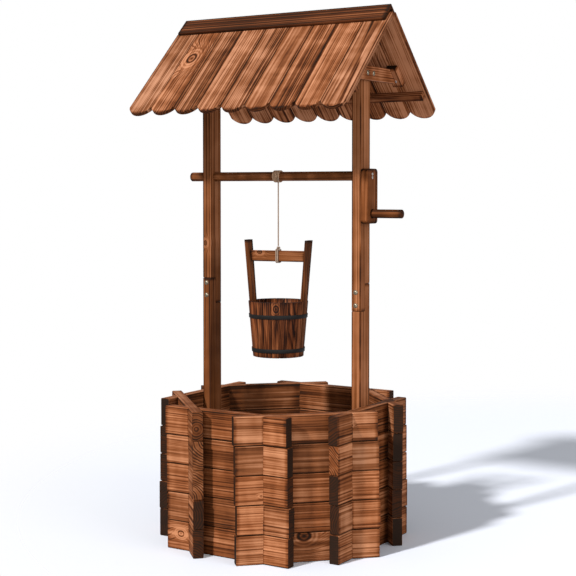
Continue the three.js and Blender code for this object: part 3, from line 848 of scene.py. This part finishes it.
# Battens, ties and cleats, all of the roof's fir. A batten runs across the boards near each eave.
# At each gable a tie is bolted to the post's outer face, and a short cleat at each of its ends
# joins it to the slope.
UNDER_BOARDS = ROOF_THICKNESS + LAP_GAP
BATTEN_HALF_LENGTH = 0.26115
BATTEN_REACH = 0.231
BATTEN_SIZE = 0.015
BATTEN_EASE = 0.0008
TIE_INSIDE = POST_OUTSIDE + LAP_GAP
TIE_THICKNESS = 0.012
TIE_OUTSIDE = TIE_INSIDE + TIE_THICKNESS
TIE_FOOT = 0.977
TIE_EASE = 0.0012
CLEAT_WIDTH = 0.025
CLEAT_THICKNESS = 0.012
CLEAT_LENGTH = 0.051
CLEAT_REACH = 0.19202
CLEAT_EASE = 0.0010
TIE_END_DEPTH = UNDER_BOARDS + CLEAT_THICKNESS + LAP_GAP

for slope, way in SLOPES.items():
    batten = start_block(
        f"eave_batten_{slope}_strip",
        (-BATTEN_HALF_LENGTH, BATTEN_REACH - BATTEN_SIZE, UNDER_BOARDS),
        (BATTEN_HALF_LENGTH, BATTEN_REACH, UNDER_BOARDS + BATTEN_SIZE),
    )
    ease_edges(batten, BATTEN_EASE)
    # Painted shade: the batten's up-slope side, deep in shade under the boards, is painted dark
    # like a sawn end.
    grain(batten, (1, 0, 0), (0, 1, 0), edges=False, shaded_side=(0, -1, 0))
    place_piece(batten, slope_place(slope))
    settle(batten, roof_wood, "well", "roof_wood", f"eave_batten_{slope}")
    for end_name, end in ENDS.items():
        inner = TIE_INSIDE if end == way else -TIE_INSIDE - CLEAT_WIDTH
        cleat = start_block(
            f"roof_cleat_{slope}_{end_name}_block",
            (inner, CLEAT_REACH - CLEAT_LENGTH, UNDER_BOARDS),
            (inner + CLEAT_WIDTH, CLEAT_REACH, UNDER_BOARDS + CLEAT_THICKNESS),
        )
        ease_edges(cleat, CLEAT_EASE)
        # Painted light: the redder tone warms the cleats where they stand in the bluish shade under
        # the roof.
        grain(cleat, (0, 1, 0), (1, 0, 0), tone=(-0.6, -1.2, 1.1), edges=False)
        place_piece(cleat, slope_place(slope))
        settle(cleat, roof_wood, "well", "roof_wood", f"roof_cleat_{slope}_{end_name}")

for end_name, end in ENDS.items():
    tie = start_block(
        f"gable_tie_{end_name}_board",
        (min(end * TIE_INSIDE, end * TIE_OUTSIDE), -1, TIE_FOOT),
        (max(end * TIE_INSIDE, end * TIE_OUTSIDE), 1, POST_HEAD),
    )
    for corner in tie.data.vertices:
        reach = ROOF_RIDGE - corner.co.z - TIE_END_DEPTH * math.sqrt(2)
        corner.co.y = math.copysign(reach, corner.co.y)
    ease_edges(tie, TIE_EASE)
    # Painted light: the redder tone warms the tie where it stands in the bluish shade under the
    # roof.
    grain(tie, (0, 1, 0), (0, 0, 1), pith=(0.060, 0.020), tone=(0.8, -1.2, 0.8), edges=False)
    settle(tie, roof_wood, "well", "roof_wood", f"gable_tie_{end_name}")


# Bolts and screws. Zinc-plated domed bolts with washers hold the laps and the ties. Small
# countersunk screws hold the cleats, the crank arm and its handle. All have a cross recess.
WASHER_RADIUS = 0.0050
WASHER_THICKNESS = 0.0006
WASHER_EASE = 0.0002
BOLT_RADIUS = 0.0040
BOLT_FOOT = 0.0005
BOLT_RIM = 0.0004
BOLT_DOME = ((0.0005, 0.0007), (0.0009, 0.0005), (0.0009, 0.0002))
BOLT_RECESS = (0.0024, 0.0006)
SCREW_RADIUS = 0.0030
SCREW_DEPTH = 0.0003
SCREW_RIM = 0.0004
SCREW_STEP = (0.0005, 0.0002)
SCREW_RECESS = (0.0017, 0.00035)
SCREW_RECESS_FOOT = -0.0002
LAP_BOLT_PLACE = -0.001
LAP_BOLT_HEIGHTS = {"right": (0.5370, 0.5095), "left": (0.5435, 0.5160)}
TIE_BOLT_HEIGHT = 0.9915
TIE_BOLT_SPREAD = 0.0125
CLEAT_SCREW_INSET = 0.016


def metal(name, dark, light, spots, shine, metallic=1.0, specular=0.5):
    """A metal with dark and light spots, which are also less and more rough."""
    material, wire, shader = new_finish(name)
    spotted = wire.place().noise(*spots)
    spotted.blend((*dark, 1), (*light, 1)).into(shader, "Base Color")
    (spotted * shine[0] + shine[1]).into(shader, "Roughness")
    shader.inputs["Metallic"].default_value = metallic
    shader.inputs["Specular IOR Level"].default_value = specular
    return material


ZINC = {"spots": ((700, 700, 700), 2, 0.5), "shine": (0.2, 0.34)}
bolt_zinc = metal("bolt_zinc", (0.15, 0.12, 0.08), (0.38, 0.33, 0.25), **ZINC)
# Painted light: the screws' zinc is much paler than the bolts', to brighten heads that sit on
# shaded faces.
brightened_screw_zinc = metal("brightened_screw_zinc", (0.48, 0.45, 0.41), (0.80, 0.77, 0.73), **ZINC)


def disc(name, radius, depth, foot, sides=32):
    return start_round(name, radius, depth, (0, 0, foot + depth / 2), sides)


def smooth(piece, angle):
    take(piece)
    bpy.ops.object.shade_smooth_by_angle(angle=math.radians(angle))


def cut_recess(head, reach, half_width, foot):
    """Cuts the driver's cross into a head."""
    for turn in (0, math.pi / 2):
        slot = start_block("slot", (-reach, -half_width, foot), (reach, half_width, OVERRUN))
        slot.data.transform(Matrix.Rotation(turn, 4, "Z"))
        saw_out(head, slot)


def domed_bolt_master():
    """A domed head on a washer, standing on the wood at Z = 0."""
    washer = disc("washer", WASHER_RADIUS, WASHER_THICKNESS, 0.0)
    ease_edges(washer, WASHER_EASE, 1)
    head = disc("domed_bolt", BOLT_RADIUS, BOLT_RIM, BOLT_FOOT)
    pick(head, "FACE", lambda middle, normal: normal.z > 0.9)
    for inset, rise in BOLT_DOME:
        bpy.ops.mesh.inset(thickness=inset, depth=rise)
    leave()
    cut_recess(head, *BOLT_RECESS, BOLT_FOOT + BOLT_RIM)
    take(head, washer)
    bpy.ops.object.join()
    smooth(head, 40)
    return head


def screw_master():
    """A flat head with a cross recess, let in flush with the wood."""
    head = disc("screw", SCREW_RADIUS, SCREW_DEPTH + SCREW_RIM, -SCREW_DEPTH, sides=28)
    pick(head, "FACE", lambda middle, normal: normal.z > 0.9)
    bpy.ops.mesh.inset(thickness=SCREW_STEP[0], depth=SCREW_STEP[1])
    leave()
    cut_recess(head, *SCREW_RECESS, SCREW_RECESS_FOOT)
    smooth(head, 40)
    return head


def fix(master, name, place, towards, body="well"):
    """Sets a bolt or screw on the wood, its head towards a direction."""
    piece = copy_piece(master, name)
    facing = Vector(towards).to_track_quat("Z", "Y").to_matrix().to_4x4()
    turned = Matrix.Rotation(chance.uniform(0, math.pi), 4, "Z")
    place_piece(piece, Matrix.Translation(place) @ facing @ turned)
    settle(piece, brightened_screw_zinc if master is screw else bolt_zinc, body, "hoop_steel")


domed_bolt = domed_bolt_master()
screw = screw_master()
POST_MIDDLE = (POST_INSIDE + POST_OUTSIDE) / 2
for side_name, end in ENDS.items():
    for number, height in enumerate(LAP_BOLT_HEIGHTS[side_name], 1):
        place = (end * POST_MIDDLE + LAP_BOLT_PLACE, -POST_HALF_DEPTH, height)
        fix(domed_bolt, f"lap_bolt_{side_name}_{number}", place, (0, -1, 0))
for side_name, end in ENDS.items():
    for number, across in enumerate((-TIE_BOLT_SPREAD, TIE_BOLT_SPREAD), 1):
        place = (end * TIE_OUTSIDE, across, TIE_BOLT_HEIGHT)
        fix(domed_bolt, f"tie_bolt_{side_name}_{number}", place, (end, 0, 0))
    for slope, way in SLOPES.items():
        place = slope_place(slope) @ Vector((
            (TIE_INSIDE + CLEAT_WIDTH / 2) * end * way,
            CLEAT_REACH - CLEAT_SCREW_INSET,
            UNDER_BOARDS + CLEAT_THICKNESS,
        ))
        fix(screw, f"cleat_screw_{slope}_{side_name}", place, (0, way, -1))


# Winch. A turned softwood axle runs through both posts. Its right end sits in a flat crank arm with
# rounded corners, and a turned handle sits in the arm's outer face. Two screws hold the arm on
# the axle, and one from inside holds the handle.
AXLE_RADIUS = 0.010
AXLE_LEFT = -0.2437
AXLE_RIGHT = 0.2067
ARM_INSIDE = POST_OUTSIDE + LAP_GAP
ARM_OUTSIDE = 0.2180
ARM_HALF_WIDTH = 0.022
ARM_HEAD = 0.794
ARM_FOOT = 0.680
ARM_CORNER = 0.008
ARM_EASE = 0.0014
CRANK_HEIGHT = 0.7006
HANDLE_RADIUS = 0.0091
HANDLE_LEFT = 0.2123
HANDLE_RIGHT = 0.2872
SOCKET_DEPTH = 0.006
DOWEL_EASE = 0.0016
ARM_SCREW_SPREAD = 0.0036
ARM_SCREW_PLACE = -0.001


def turned_bar(name, radius, left, right, height, rounds, darkness):
    """A turned dowel along X with eased ends, and rounds of corners where the grain is measured."""
    bar = round_bar(name, radius, left, right, height)
    for place in rounds:
        saw_across(bar, (place, 0, 0), (1, 0, 0))
    ease_edges(bar, DOWEL_EASE, 4, 40)
    smooth(bar, 40)
    grain(bar, (1, 0, 0), (0, 1, 0), pith=(0.004, 0.017), tone=(darkness, 0.2, 0.9), edges=False)
    return bar


axle = turned_bar(
    "axle_dowel", AXLE_RADIUS, AXLE_LEFT, AXLE_RIGHT, AXLE_HEIGHT, (-0.15, 0.0, 0.15), 0.5
)
settle(axle, post_wood, "winch", "post_wood", "winch_axle")

arm = start_block(
    "crank_arm_plate",
    (ARM_INSIDE, -ARM_HALF_WIDTH, ARM_FOOT), (ARM_OUTSIDE, ARM_HALF_WIDTH, ARM_HEAD),
)
pick(arm, "EDGE", lambda middle, run: abs(run.x) > 0.9)
bpy.ops.mesh.bevel(offset=ARM_CORNER, segments=8, affect="EDGES")
leave()
for radius, height, face in (
    (AXLE_RADIUS, AXLE_HEIGHT, ARM_INSIDE), (HANDLE_RADIUS, CRANK_HEIGHT, ARM_OUTSIDE),
):
    saw_out(arm, round_bar(
        "socket", radius + LAP_GAP, face - SOCKET_DEPTH, face + SOCKET_DEPTH, height
    ))
ease_edges(arm, ARM_EASE, 3, 40)
smooth(arm, 40)
grain(arm, (0, 0, 1), (0, 1, 0), pith=(0.050, 0.022), tone=(2.8, -0.4, 0.8), edges=False)
settle(arm, post_wood, "winch", "post_wood", "crank_arm")

handle = turned_bar(
    "crank_handle_dowel", HANDLE_RADIUS, HANDLE_LEFT, HANDLE_RIGHT, CRANK_HEIGHT, (0.25,), 6.0
)
settle(handle, post_wood, "winch", "post_wood", "crank_handle")
for number, rise in enumerate((ARM_SCREW_SPREAD, -ARM_SCREW_SPREAD), 1):
    place = (ARM_OUTSIDE, ARM_SCREW_PLACE, AXLE_HEIGHT + rise)
    fix(screw, f"crank_screw_{number}", place, (1, 0, 0), "winch")
fix(screw, "crank_screw_inner", (ARM_INSIDE, 0, CRANK_HEIGHT), (-1, 0, 0), "winch")
for master in (domed_bolt, screw):
    bpy.data.objects.remove(master)


# Rope on the axle. Four and a quarter turns of the same rope. It comes up at the front of the axle
# and winds on over the top.
WINDING_RADIUS = 0.0118
WINDING_TURNS = 4.25
WINDING_PITCH = 0.0037
WINDING_TAIL = 0.003
TURN_STEPS = 72
winding_steps = round(WINDING_TURNS * TURN_STEPS)
winding_line = [Vector((ROPE_X, -WINDING_RADIUS, AXLE_HEIGHT - WINDING_TAIL))]
winding_out = [Vector((0, -1, 0))]
for step in range(winding_steps + 1):
    turn = WINDING_TURNS * step / winding_steps
    angle = 2 * math.pi * turn
    outward = Vector((0, -math.cos(angle), math.sin(angle)))
    winding_line.append(
        Vector((ROPE_X - WINDING_PITCH * turn, 0, AXLE_HEIGHT)) + outward * WINDING_RADIUS
    )
    winding_out.append(outward)
heading = winding_out[-1].cross(Vector((1, 0, 0)))
winding_line.append(winding_line[-1] + heading * WINDING_TAIL)
winding_out.append(winding_out[-1])
# Painted light: the wound turns get a paler, browner copy of the jute, to lift them out of the
# roof's shadow.
brightened_wound_jute = jute(
    "brightened_wound_jute", (0.36, 0.21, 0.12, 1), (0.46, 0.29, 0.18, 1), (0.13, 0.07, 0.035, 1)
)
winding = lay_rope("wound_rope", winding_line, winding_out)
settle(winding, brightened_wound_jute, "winch", "rope", "rope_winding")


# Hitch on the bar. The end of the same jute rope goes twice round the bucket's bar and is knotted
# above it.
BAR_TOP = 0.619
BAR_FOOT = 0.5955
BAR_HALF_THICKNESS = 0.0045
KNOT_TOP = 0.6286
HITCH_PITCH = 0.0036
HITCH_PACE = 0.0009
CORNER_STEPS = 8
KNOT_STEPS = 120
KNOT_DEPTH = 0.0047
KNOT_RADIUS = 0.0019
KNOT_SWING = 0.0012
KNOT_SQUASH = 0.9
KNOT_RISE = 0.0026
BUCKET_PLACE = Matrix.Translation((ROPE_X, ROPE_Y, 0)) @ Matrix.Rotation(math.radians(9.3), 4, "Z")
ring = []
hitch_corners = ((1, BAR_TOP), (-1, BAR_TOP), (-1, BAR_FOOT), (1, BAR_FOOT))
for quarter, (side, height) in enumerate(hitch_corners):
    for step in range(CORNER_STEPS + 1):
        angle = math.pi / 2 * (quarter + step / CORNER_STEPS)
        outward = Vector((0, math.cos(angle), math.sin(angle)))
        corner = Vector((0, side * BAR_HALF_THICKNESS, height))
        ring.append((corner + outward * (LAP_GAP + ROPE_RADIUS), outward))
hitch_line, hitch_out = [], []
for i in range(2 * len(ring) + 1):
    point, outward = ring[(CORNER_STEPS + i) % len(ring)]
    drift = HITCH_PITCH * (i / len(ring) - 1)
    hitch_line.append(Vector((drift, point.y, point.z)))
    hitch_out.append(outward)


def evenly(line, outwards, pace):
    """The same line with its points about a pace apart."""
    points, outs = [line[0]], [outwards[0]]
    for i in range(1, len(line)):
        paces = max(1, round((line[i] - line[i - 1]).length / pace))
        for k in range(1, paces + 1):
            share = k / paces
            points.append(line[i - 1].lerp(line[i], share))
            outs.append(outwards[i - 1].lerp(outwards[i], share).normalized())
    return points, outs


hitch_loops = lay_rope("hitch_loops", *evenly(hitch_line, hitch_out, HITCH_PACE))
knot_line, knot_out = [], []
knot_middle = Vector((0, 0, KNOT_TOP - KNOT_DEPTH))
for i in range(KNOT_STEPS + 1):
    angle = 2 * math.pi * i / KNOT_STEPS
    around = KNOT_RADIUS + KNOT_SWING * math.cos(3 * angle)
    knot_line.append(knot_middle + Vector((
        around * math.cos(2 * angle),
        around * math.sin(2 * angle) * KNOT_SQUASH,
        KNOT_RISE * math.sin(3 * angle),
    )))
    knot_out.append((knot_line[-1] - knot_middle).normalized())
knot = lay_rope("hitch_knot", knot_line, knot_out)
place_piece(knot, BUCKET_PLACE)
settle(knot, jute_rope, "bucket", "rope")
place_piece(hitch_loops, BUCKET_PLACE)
settle(hitch_loops, jute_rope, "bucket", "rope", "rope_hitch")


# Bucket. Twenty tapered fir staves round a floor of two boards, held by two black steel hoops. Two
# staves are left long, with a bar between them that the rope is tied to.
TUB_FOOT = 0.392
TUB_RIM = 0.511
HANDLE_TOP = 0.642
FOOT_RADIUS = 0.0546
RIM_RADIUS = 0.0646
STAVE_THICKNESS = 0.008
STAVE_CUTS = 5
STAVE_EASE = 0.0008
SIDE_STAVES = 9
HANDLE_WIDTH = 0.024
HANDLE_CORNER = 0.005
HANDLE_ANGLE = HANDLE_WIDTH / RIM_RADIUS
STAVE_ANGLE = (math.pi - HANDLE_ANGLE) / SIDE_STAVES
TUB_TAPER = (RIM_RADIUS - FOOT_RADIUS) / (TUB_RIM - TUB_FOOT)

stave_wood = burnt_wood(
    "stave_wood", pale=(0.182, 0.056, 0.0185), brown=(0.070, 0.0182, 0.0052), scorch=0.4,
    dark=(0.018, 0.0045, 0.0015), char=(0.008, 0.003, 0.002), ring=0.0040, shine=0.40,
)


def tub_radius(height):
    """The tub's outer radius at a height."""
    return FOOT_RADIUS + (height - TUB_FOOT) * TUB_TAPER


def stave_master(name, head, angle):
    """A stave facing +X: a block whose outside is rounded and whose sides follow the taper."""
    stave = start_block(name, (0, -1, TUB_FOOT), (1, 1, head))
    pick(stave, "EDGE", lambda middle, run: abs(run.y) > 0.9)
    bpy.ops.mesh.subdivide(number_cuts=STAVE_CUTS)
    leave()
    for corner in stave.data.vertices:
        outer = tub_radius(corner.co.z)
        radius = outer if corner.co.x > 0.5 else outer - STAVE_THICKNESS
        turn = corner.co.y * (angle / 2 - LAP_GAP / 2 / outer)
        corner.co.x = radius * math.cos(turn)
        corner.co.y = radius * math.sin(turn)
    if head > TUB_RIM:
        pick(
            stave, "EDGE",
            lambda middle, run: abs(run.x) > 0.9
            and middle.z > head - NEAR and abs(middle.y) > HANDLE_WIDTH / 3,
        )
        bpy.ops.mesh.bevel(offset=HANDLE_CORNER, segments=5, affect="EDGES")
        leave()
    ease_edges(stave, STAVE_EASE, 2, 30)
    smooth(stave, 30)
    return stave


def set_stave(master, name, turn, node, finish, knot=None, tone=None):
    stave = copy_piece(master, name)
    grain(stave, (0, 0, 1), (0, 1, 0), knot=knot, tone=tone, drawn=0.4)
    place_piece(stave, BUCKET_PLACE @ Matrix.Rotation(turn, 4, "Z"))
    settle(stave, finish, "bucket", "bucket_wood", node)


short_stave = stave_master("short_stave", TUB_RIM, STAVE_ANGLE)
long_stave = stave_master("long_stave", HANDLE_TOP, HANDLE_ANGLE)
STAVE_KNOTS = {("front", 6): (0.046, 0.001, 0.0085)}
for row_name, side_name, start_turn in (("back", "right", 0), ("front", "left", math.pi)):
    node = f"bucket_{side_name}_handle_stave"
    set_stave(
        long_stave, f"handle_stave_{side_name}", start_turn, node, post_wood, tone=(3.8, 0.2, 0.9)
    )
    for number in range(1, SIDE_STAVES + 1):
        turn = start_turn + HANDLE_ANGLE / 2 + (number - 0.5) * STAVE_ANGLE
        knot = STAVE_KNOTS.get((row_name, number))
        node = f"bucket_{row_name}_staves"
        set_stave(short_stave, f"{row_name}_stave_{number}", turn, node, stave_wood, knot)
for master in (short_stave, long_stave):
    bpy.data.objects.remove(master)


def tub_inside(height):
    """How far a flat piece can reach inside the staves at a height."""
    return (tub_radius(height) - STAVE_THICKNESS) * math.cos(HANDLE_ANGLE / 2) - LAP_GAP


FLOOR_FOOT = 0.401
FLOOR_THICKNESS = 0.009
FLOOR_BOARD_EASE = 0.0006
for half_name, side in (("front", -1), ("back", 1)):
    half = disc(
        f"bucket_floor_{half_name}_board",
        tub_inside(FLOOR_FOOT), FLOOR_THICKNESS, FLOOR_FOOT, sides=60,
    )
    saw_across(half, (0, side * LAP_GAP / 2, 0), (0, -side, 0), drop=True)
    ease_edges(half, FLOOR_BOARD_EASE, 2, 40)
    grain(half, (1, 0, 0), (0, 1, 0))
    place_piece(half, BUCKET_PLACE)
    settle(half, stave_wood, "bucket", "bucket_wood", "bucket_floor")

BAR_EASE = 0.0009
bar = start_block(
    "bucket_bar_board", (-1, -BAR_HALF_THICKNESS, BAR_FOOT), (1, BAR_HALF_THICKNESS, BAR_TOP)
)
for corner in bar.data.vertices:
    corner.co.x = math.copysign(tub_inside(corner.co.z), corner.co.x)
ease_edges(bar, BAR_EASE)
grain(bar, (1, 0, 0), (0, 0, 1), knot=(-0.042, 0.008, 0.0060), tone=(0.2, 0.2, 0.8), drawn=0.6)
place_piece(bar, BUCKET_PLACE)
settle(bar, post_wood, "bucket", "bucket_wood", "bucket_bar")

hoop_paint = metal(
    "black_steel", (0.003, 0.0025, 0.002), (0.011, 0.0095, 0.009),
    spots=((160, 160, 160), 3, 0.6), shine=(0.25, 0.42), metallic=0.0, specular=0.12,
)
HOOP_HEIGHT = 0.0084
HOOP_THICKNESS = 0.0013
HOOP_EASE = 0.0003
HOOP_RISES = {"lower": 0.0105, "upper": 0.0834}
for hoop_name, rise in HOOP_RISES.items():
    foot = TUB_FOOT + rise
    hoop = disc(f"{hoop_name}_hoop_band", 1, HOOP_HEIGHT, foot, sides=96)
    pick(hoop, "FACE", lambda middle, normal: abs(normal.z) > 0.9)
    bpy.ops.mesh.delete(type="FACE")
    leave()
    for corner in hoop.data.vertices:
        radius = tub_radius(corner.co.z) + LAP_GAP + HOOP_THICKNESS
        corner.co.x *= radius
        corner.co.y *= radius
    wall = hoop.modifiers.new("wall", "SOLIDIFY")
    wall.thickness = HOOP_THICKNESS
    wall.offset = -1
    finish_modifier(hoop, wall)
    ease_edges(hoop, HOOP_EASE, 2, 50)
    smooth(hoop, 40)
    place_piece(hoop, BUCKET_PLACE)
    settle(hoop, hoop_paint, "bucket", "hoop_steel", f"bucket_{hoop_name}_hoop")


# Studio. A pale floor that fades into a white background, a key light like the sun's from the
# front, two weak lamps from the right and from below, and a bright room.
FLOOR_MIDDLE = (0.52, 0.80, 0)
FLOOR_FADE = (0.95, 1.85)
LAMP_AIM = Vector((0, 0, 0.5))


def studio():
    take()
    bpy.ops.mesh.primitive_plane_add(size=30, location=(0, 0, 0))
    ground = bpy.context.active_object
    ground.name = "studio_floor"
    material, wire, shader = new_finish("studio_floor")
    ends = {0: wire.place(), 1: FLOOR_MIDDLE}
    far = wire.node("ShaderNodeVectorMath", {"operation": "DISTANCE"}, ends, "Value")
    far.rise(*FLOOR_FADE, 1.0, 0.0).into(shader, "Alpha")
    shader.inputs["Base Color"].default_value = (0.592, 0.612, 0.672, 1)
    shader.inputs["Roughness"].default_value = 0.9
    ground.data.materials.append(material)

    room = bpy.data.worlds.new("studio")
    room.use_nodes = True
    bpy.context.scene.world = room
    tree = room.node_tree
    wire = Wire(tree)
    glow = wire.node("ShaderNodeBackground", {}, {"Color": (0.96, 0.98, 1.0, 1), "Strength": 0.50})
    white = wire.node("ShaderNodeBackground", {}, {"Color": (1, 1, 1, 1), "Strength": 1.0})
    seen = wire.node("ShaderNodeLightPath", {}, {}, "Is Camera Ray")
    both = wire.node("ShaderNodeMixShader", {}, {0: seen, 1: glow, 2: white})
    tree.links.new(both.socket, tree.nodes["World Output"].inputs["Surface"])

    def lamp(name, kind, place, size, strength):
        light = bpy.data.lights.new(name, kind)
        light.energy = strength
        if kind == "SUN":
            light.angle = size
        else:
            light.size = size
        holder = bpy.data.objects.new(name, light)
        bpy.context.collection.objects.link(holder)
        holder.location = place
        holder.rotation_euler = (LAMP_AIM - Vector(place)).to_track_quat("-Z", "Y").to_euler()

    lamp("key", "SUN", (-0.97, -3.87, 3.50), 0.09, 5.3)
    lamp("fill", "AREA", (4.2, -1.0, 1.6), 2.4, 112)
    lamp("bounce", "AREA", (1.5, -2.4, 0.10), 1.6, 26)


studio()
bpy.context.scene.view_settings.view_transform = "Standard"
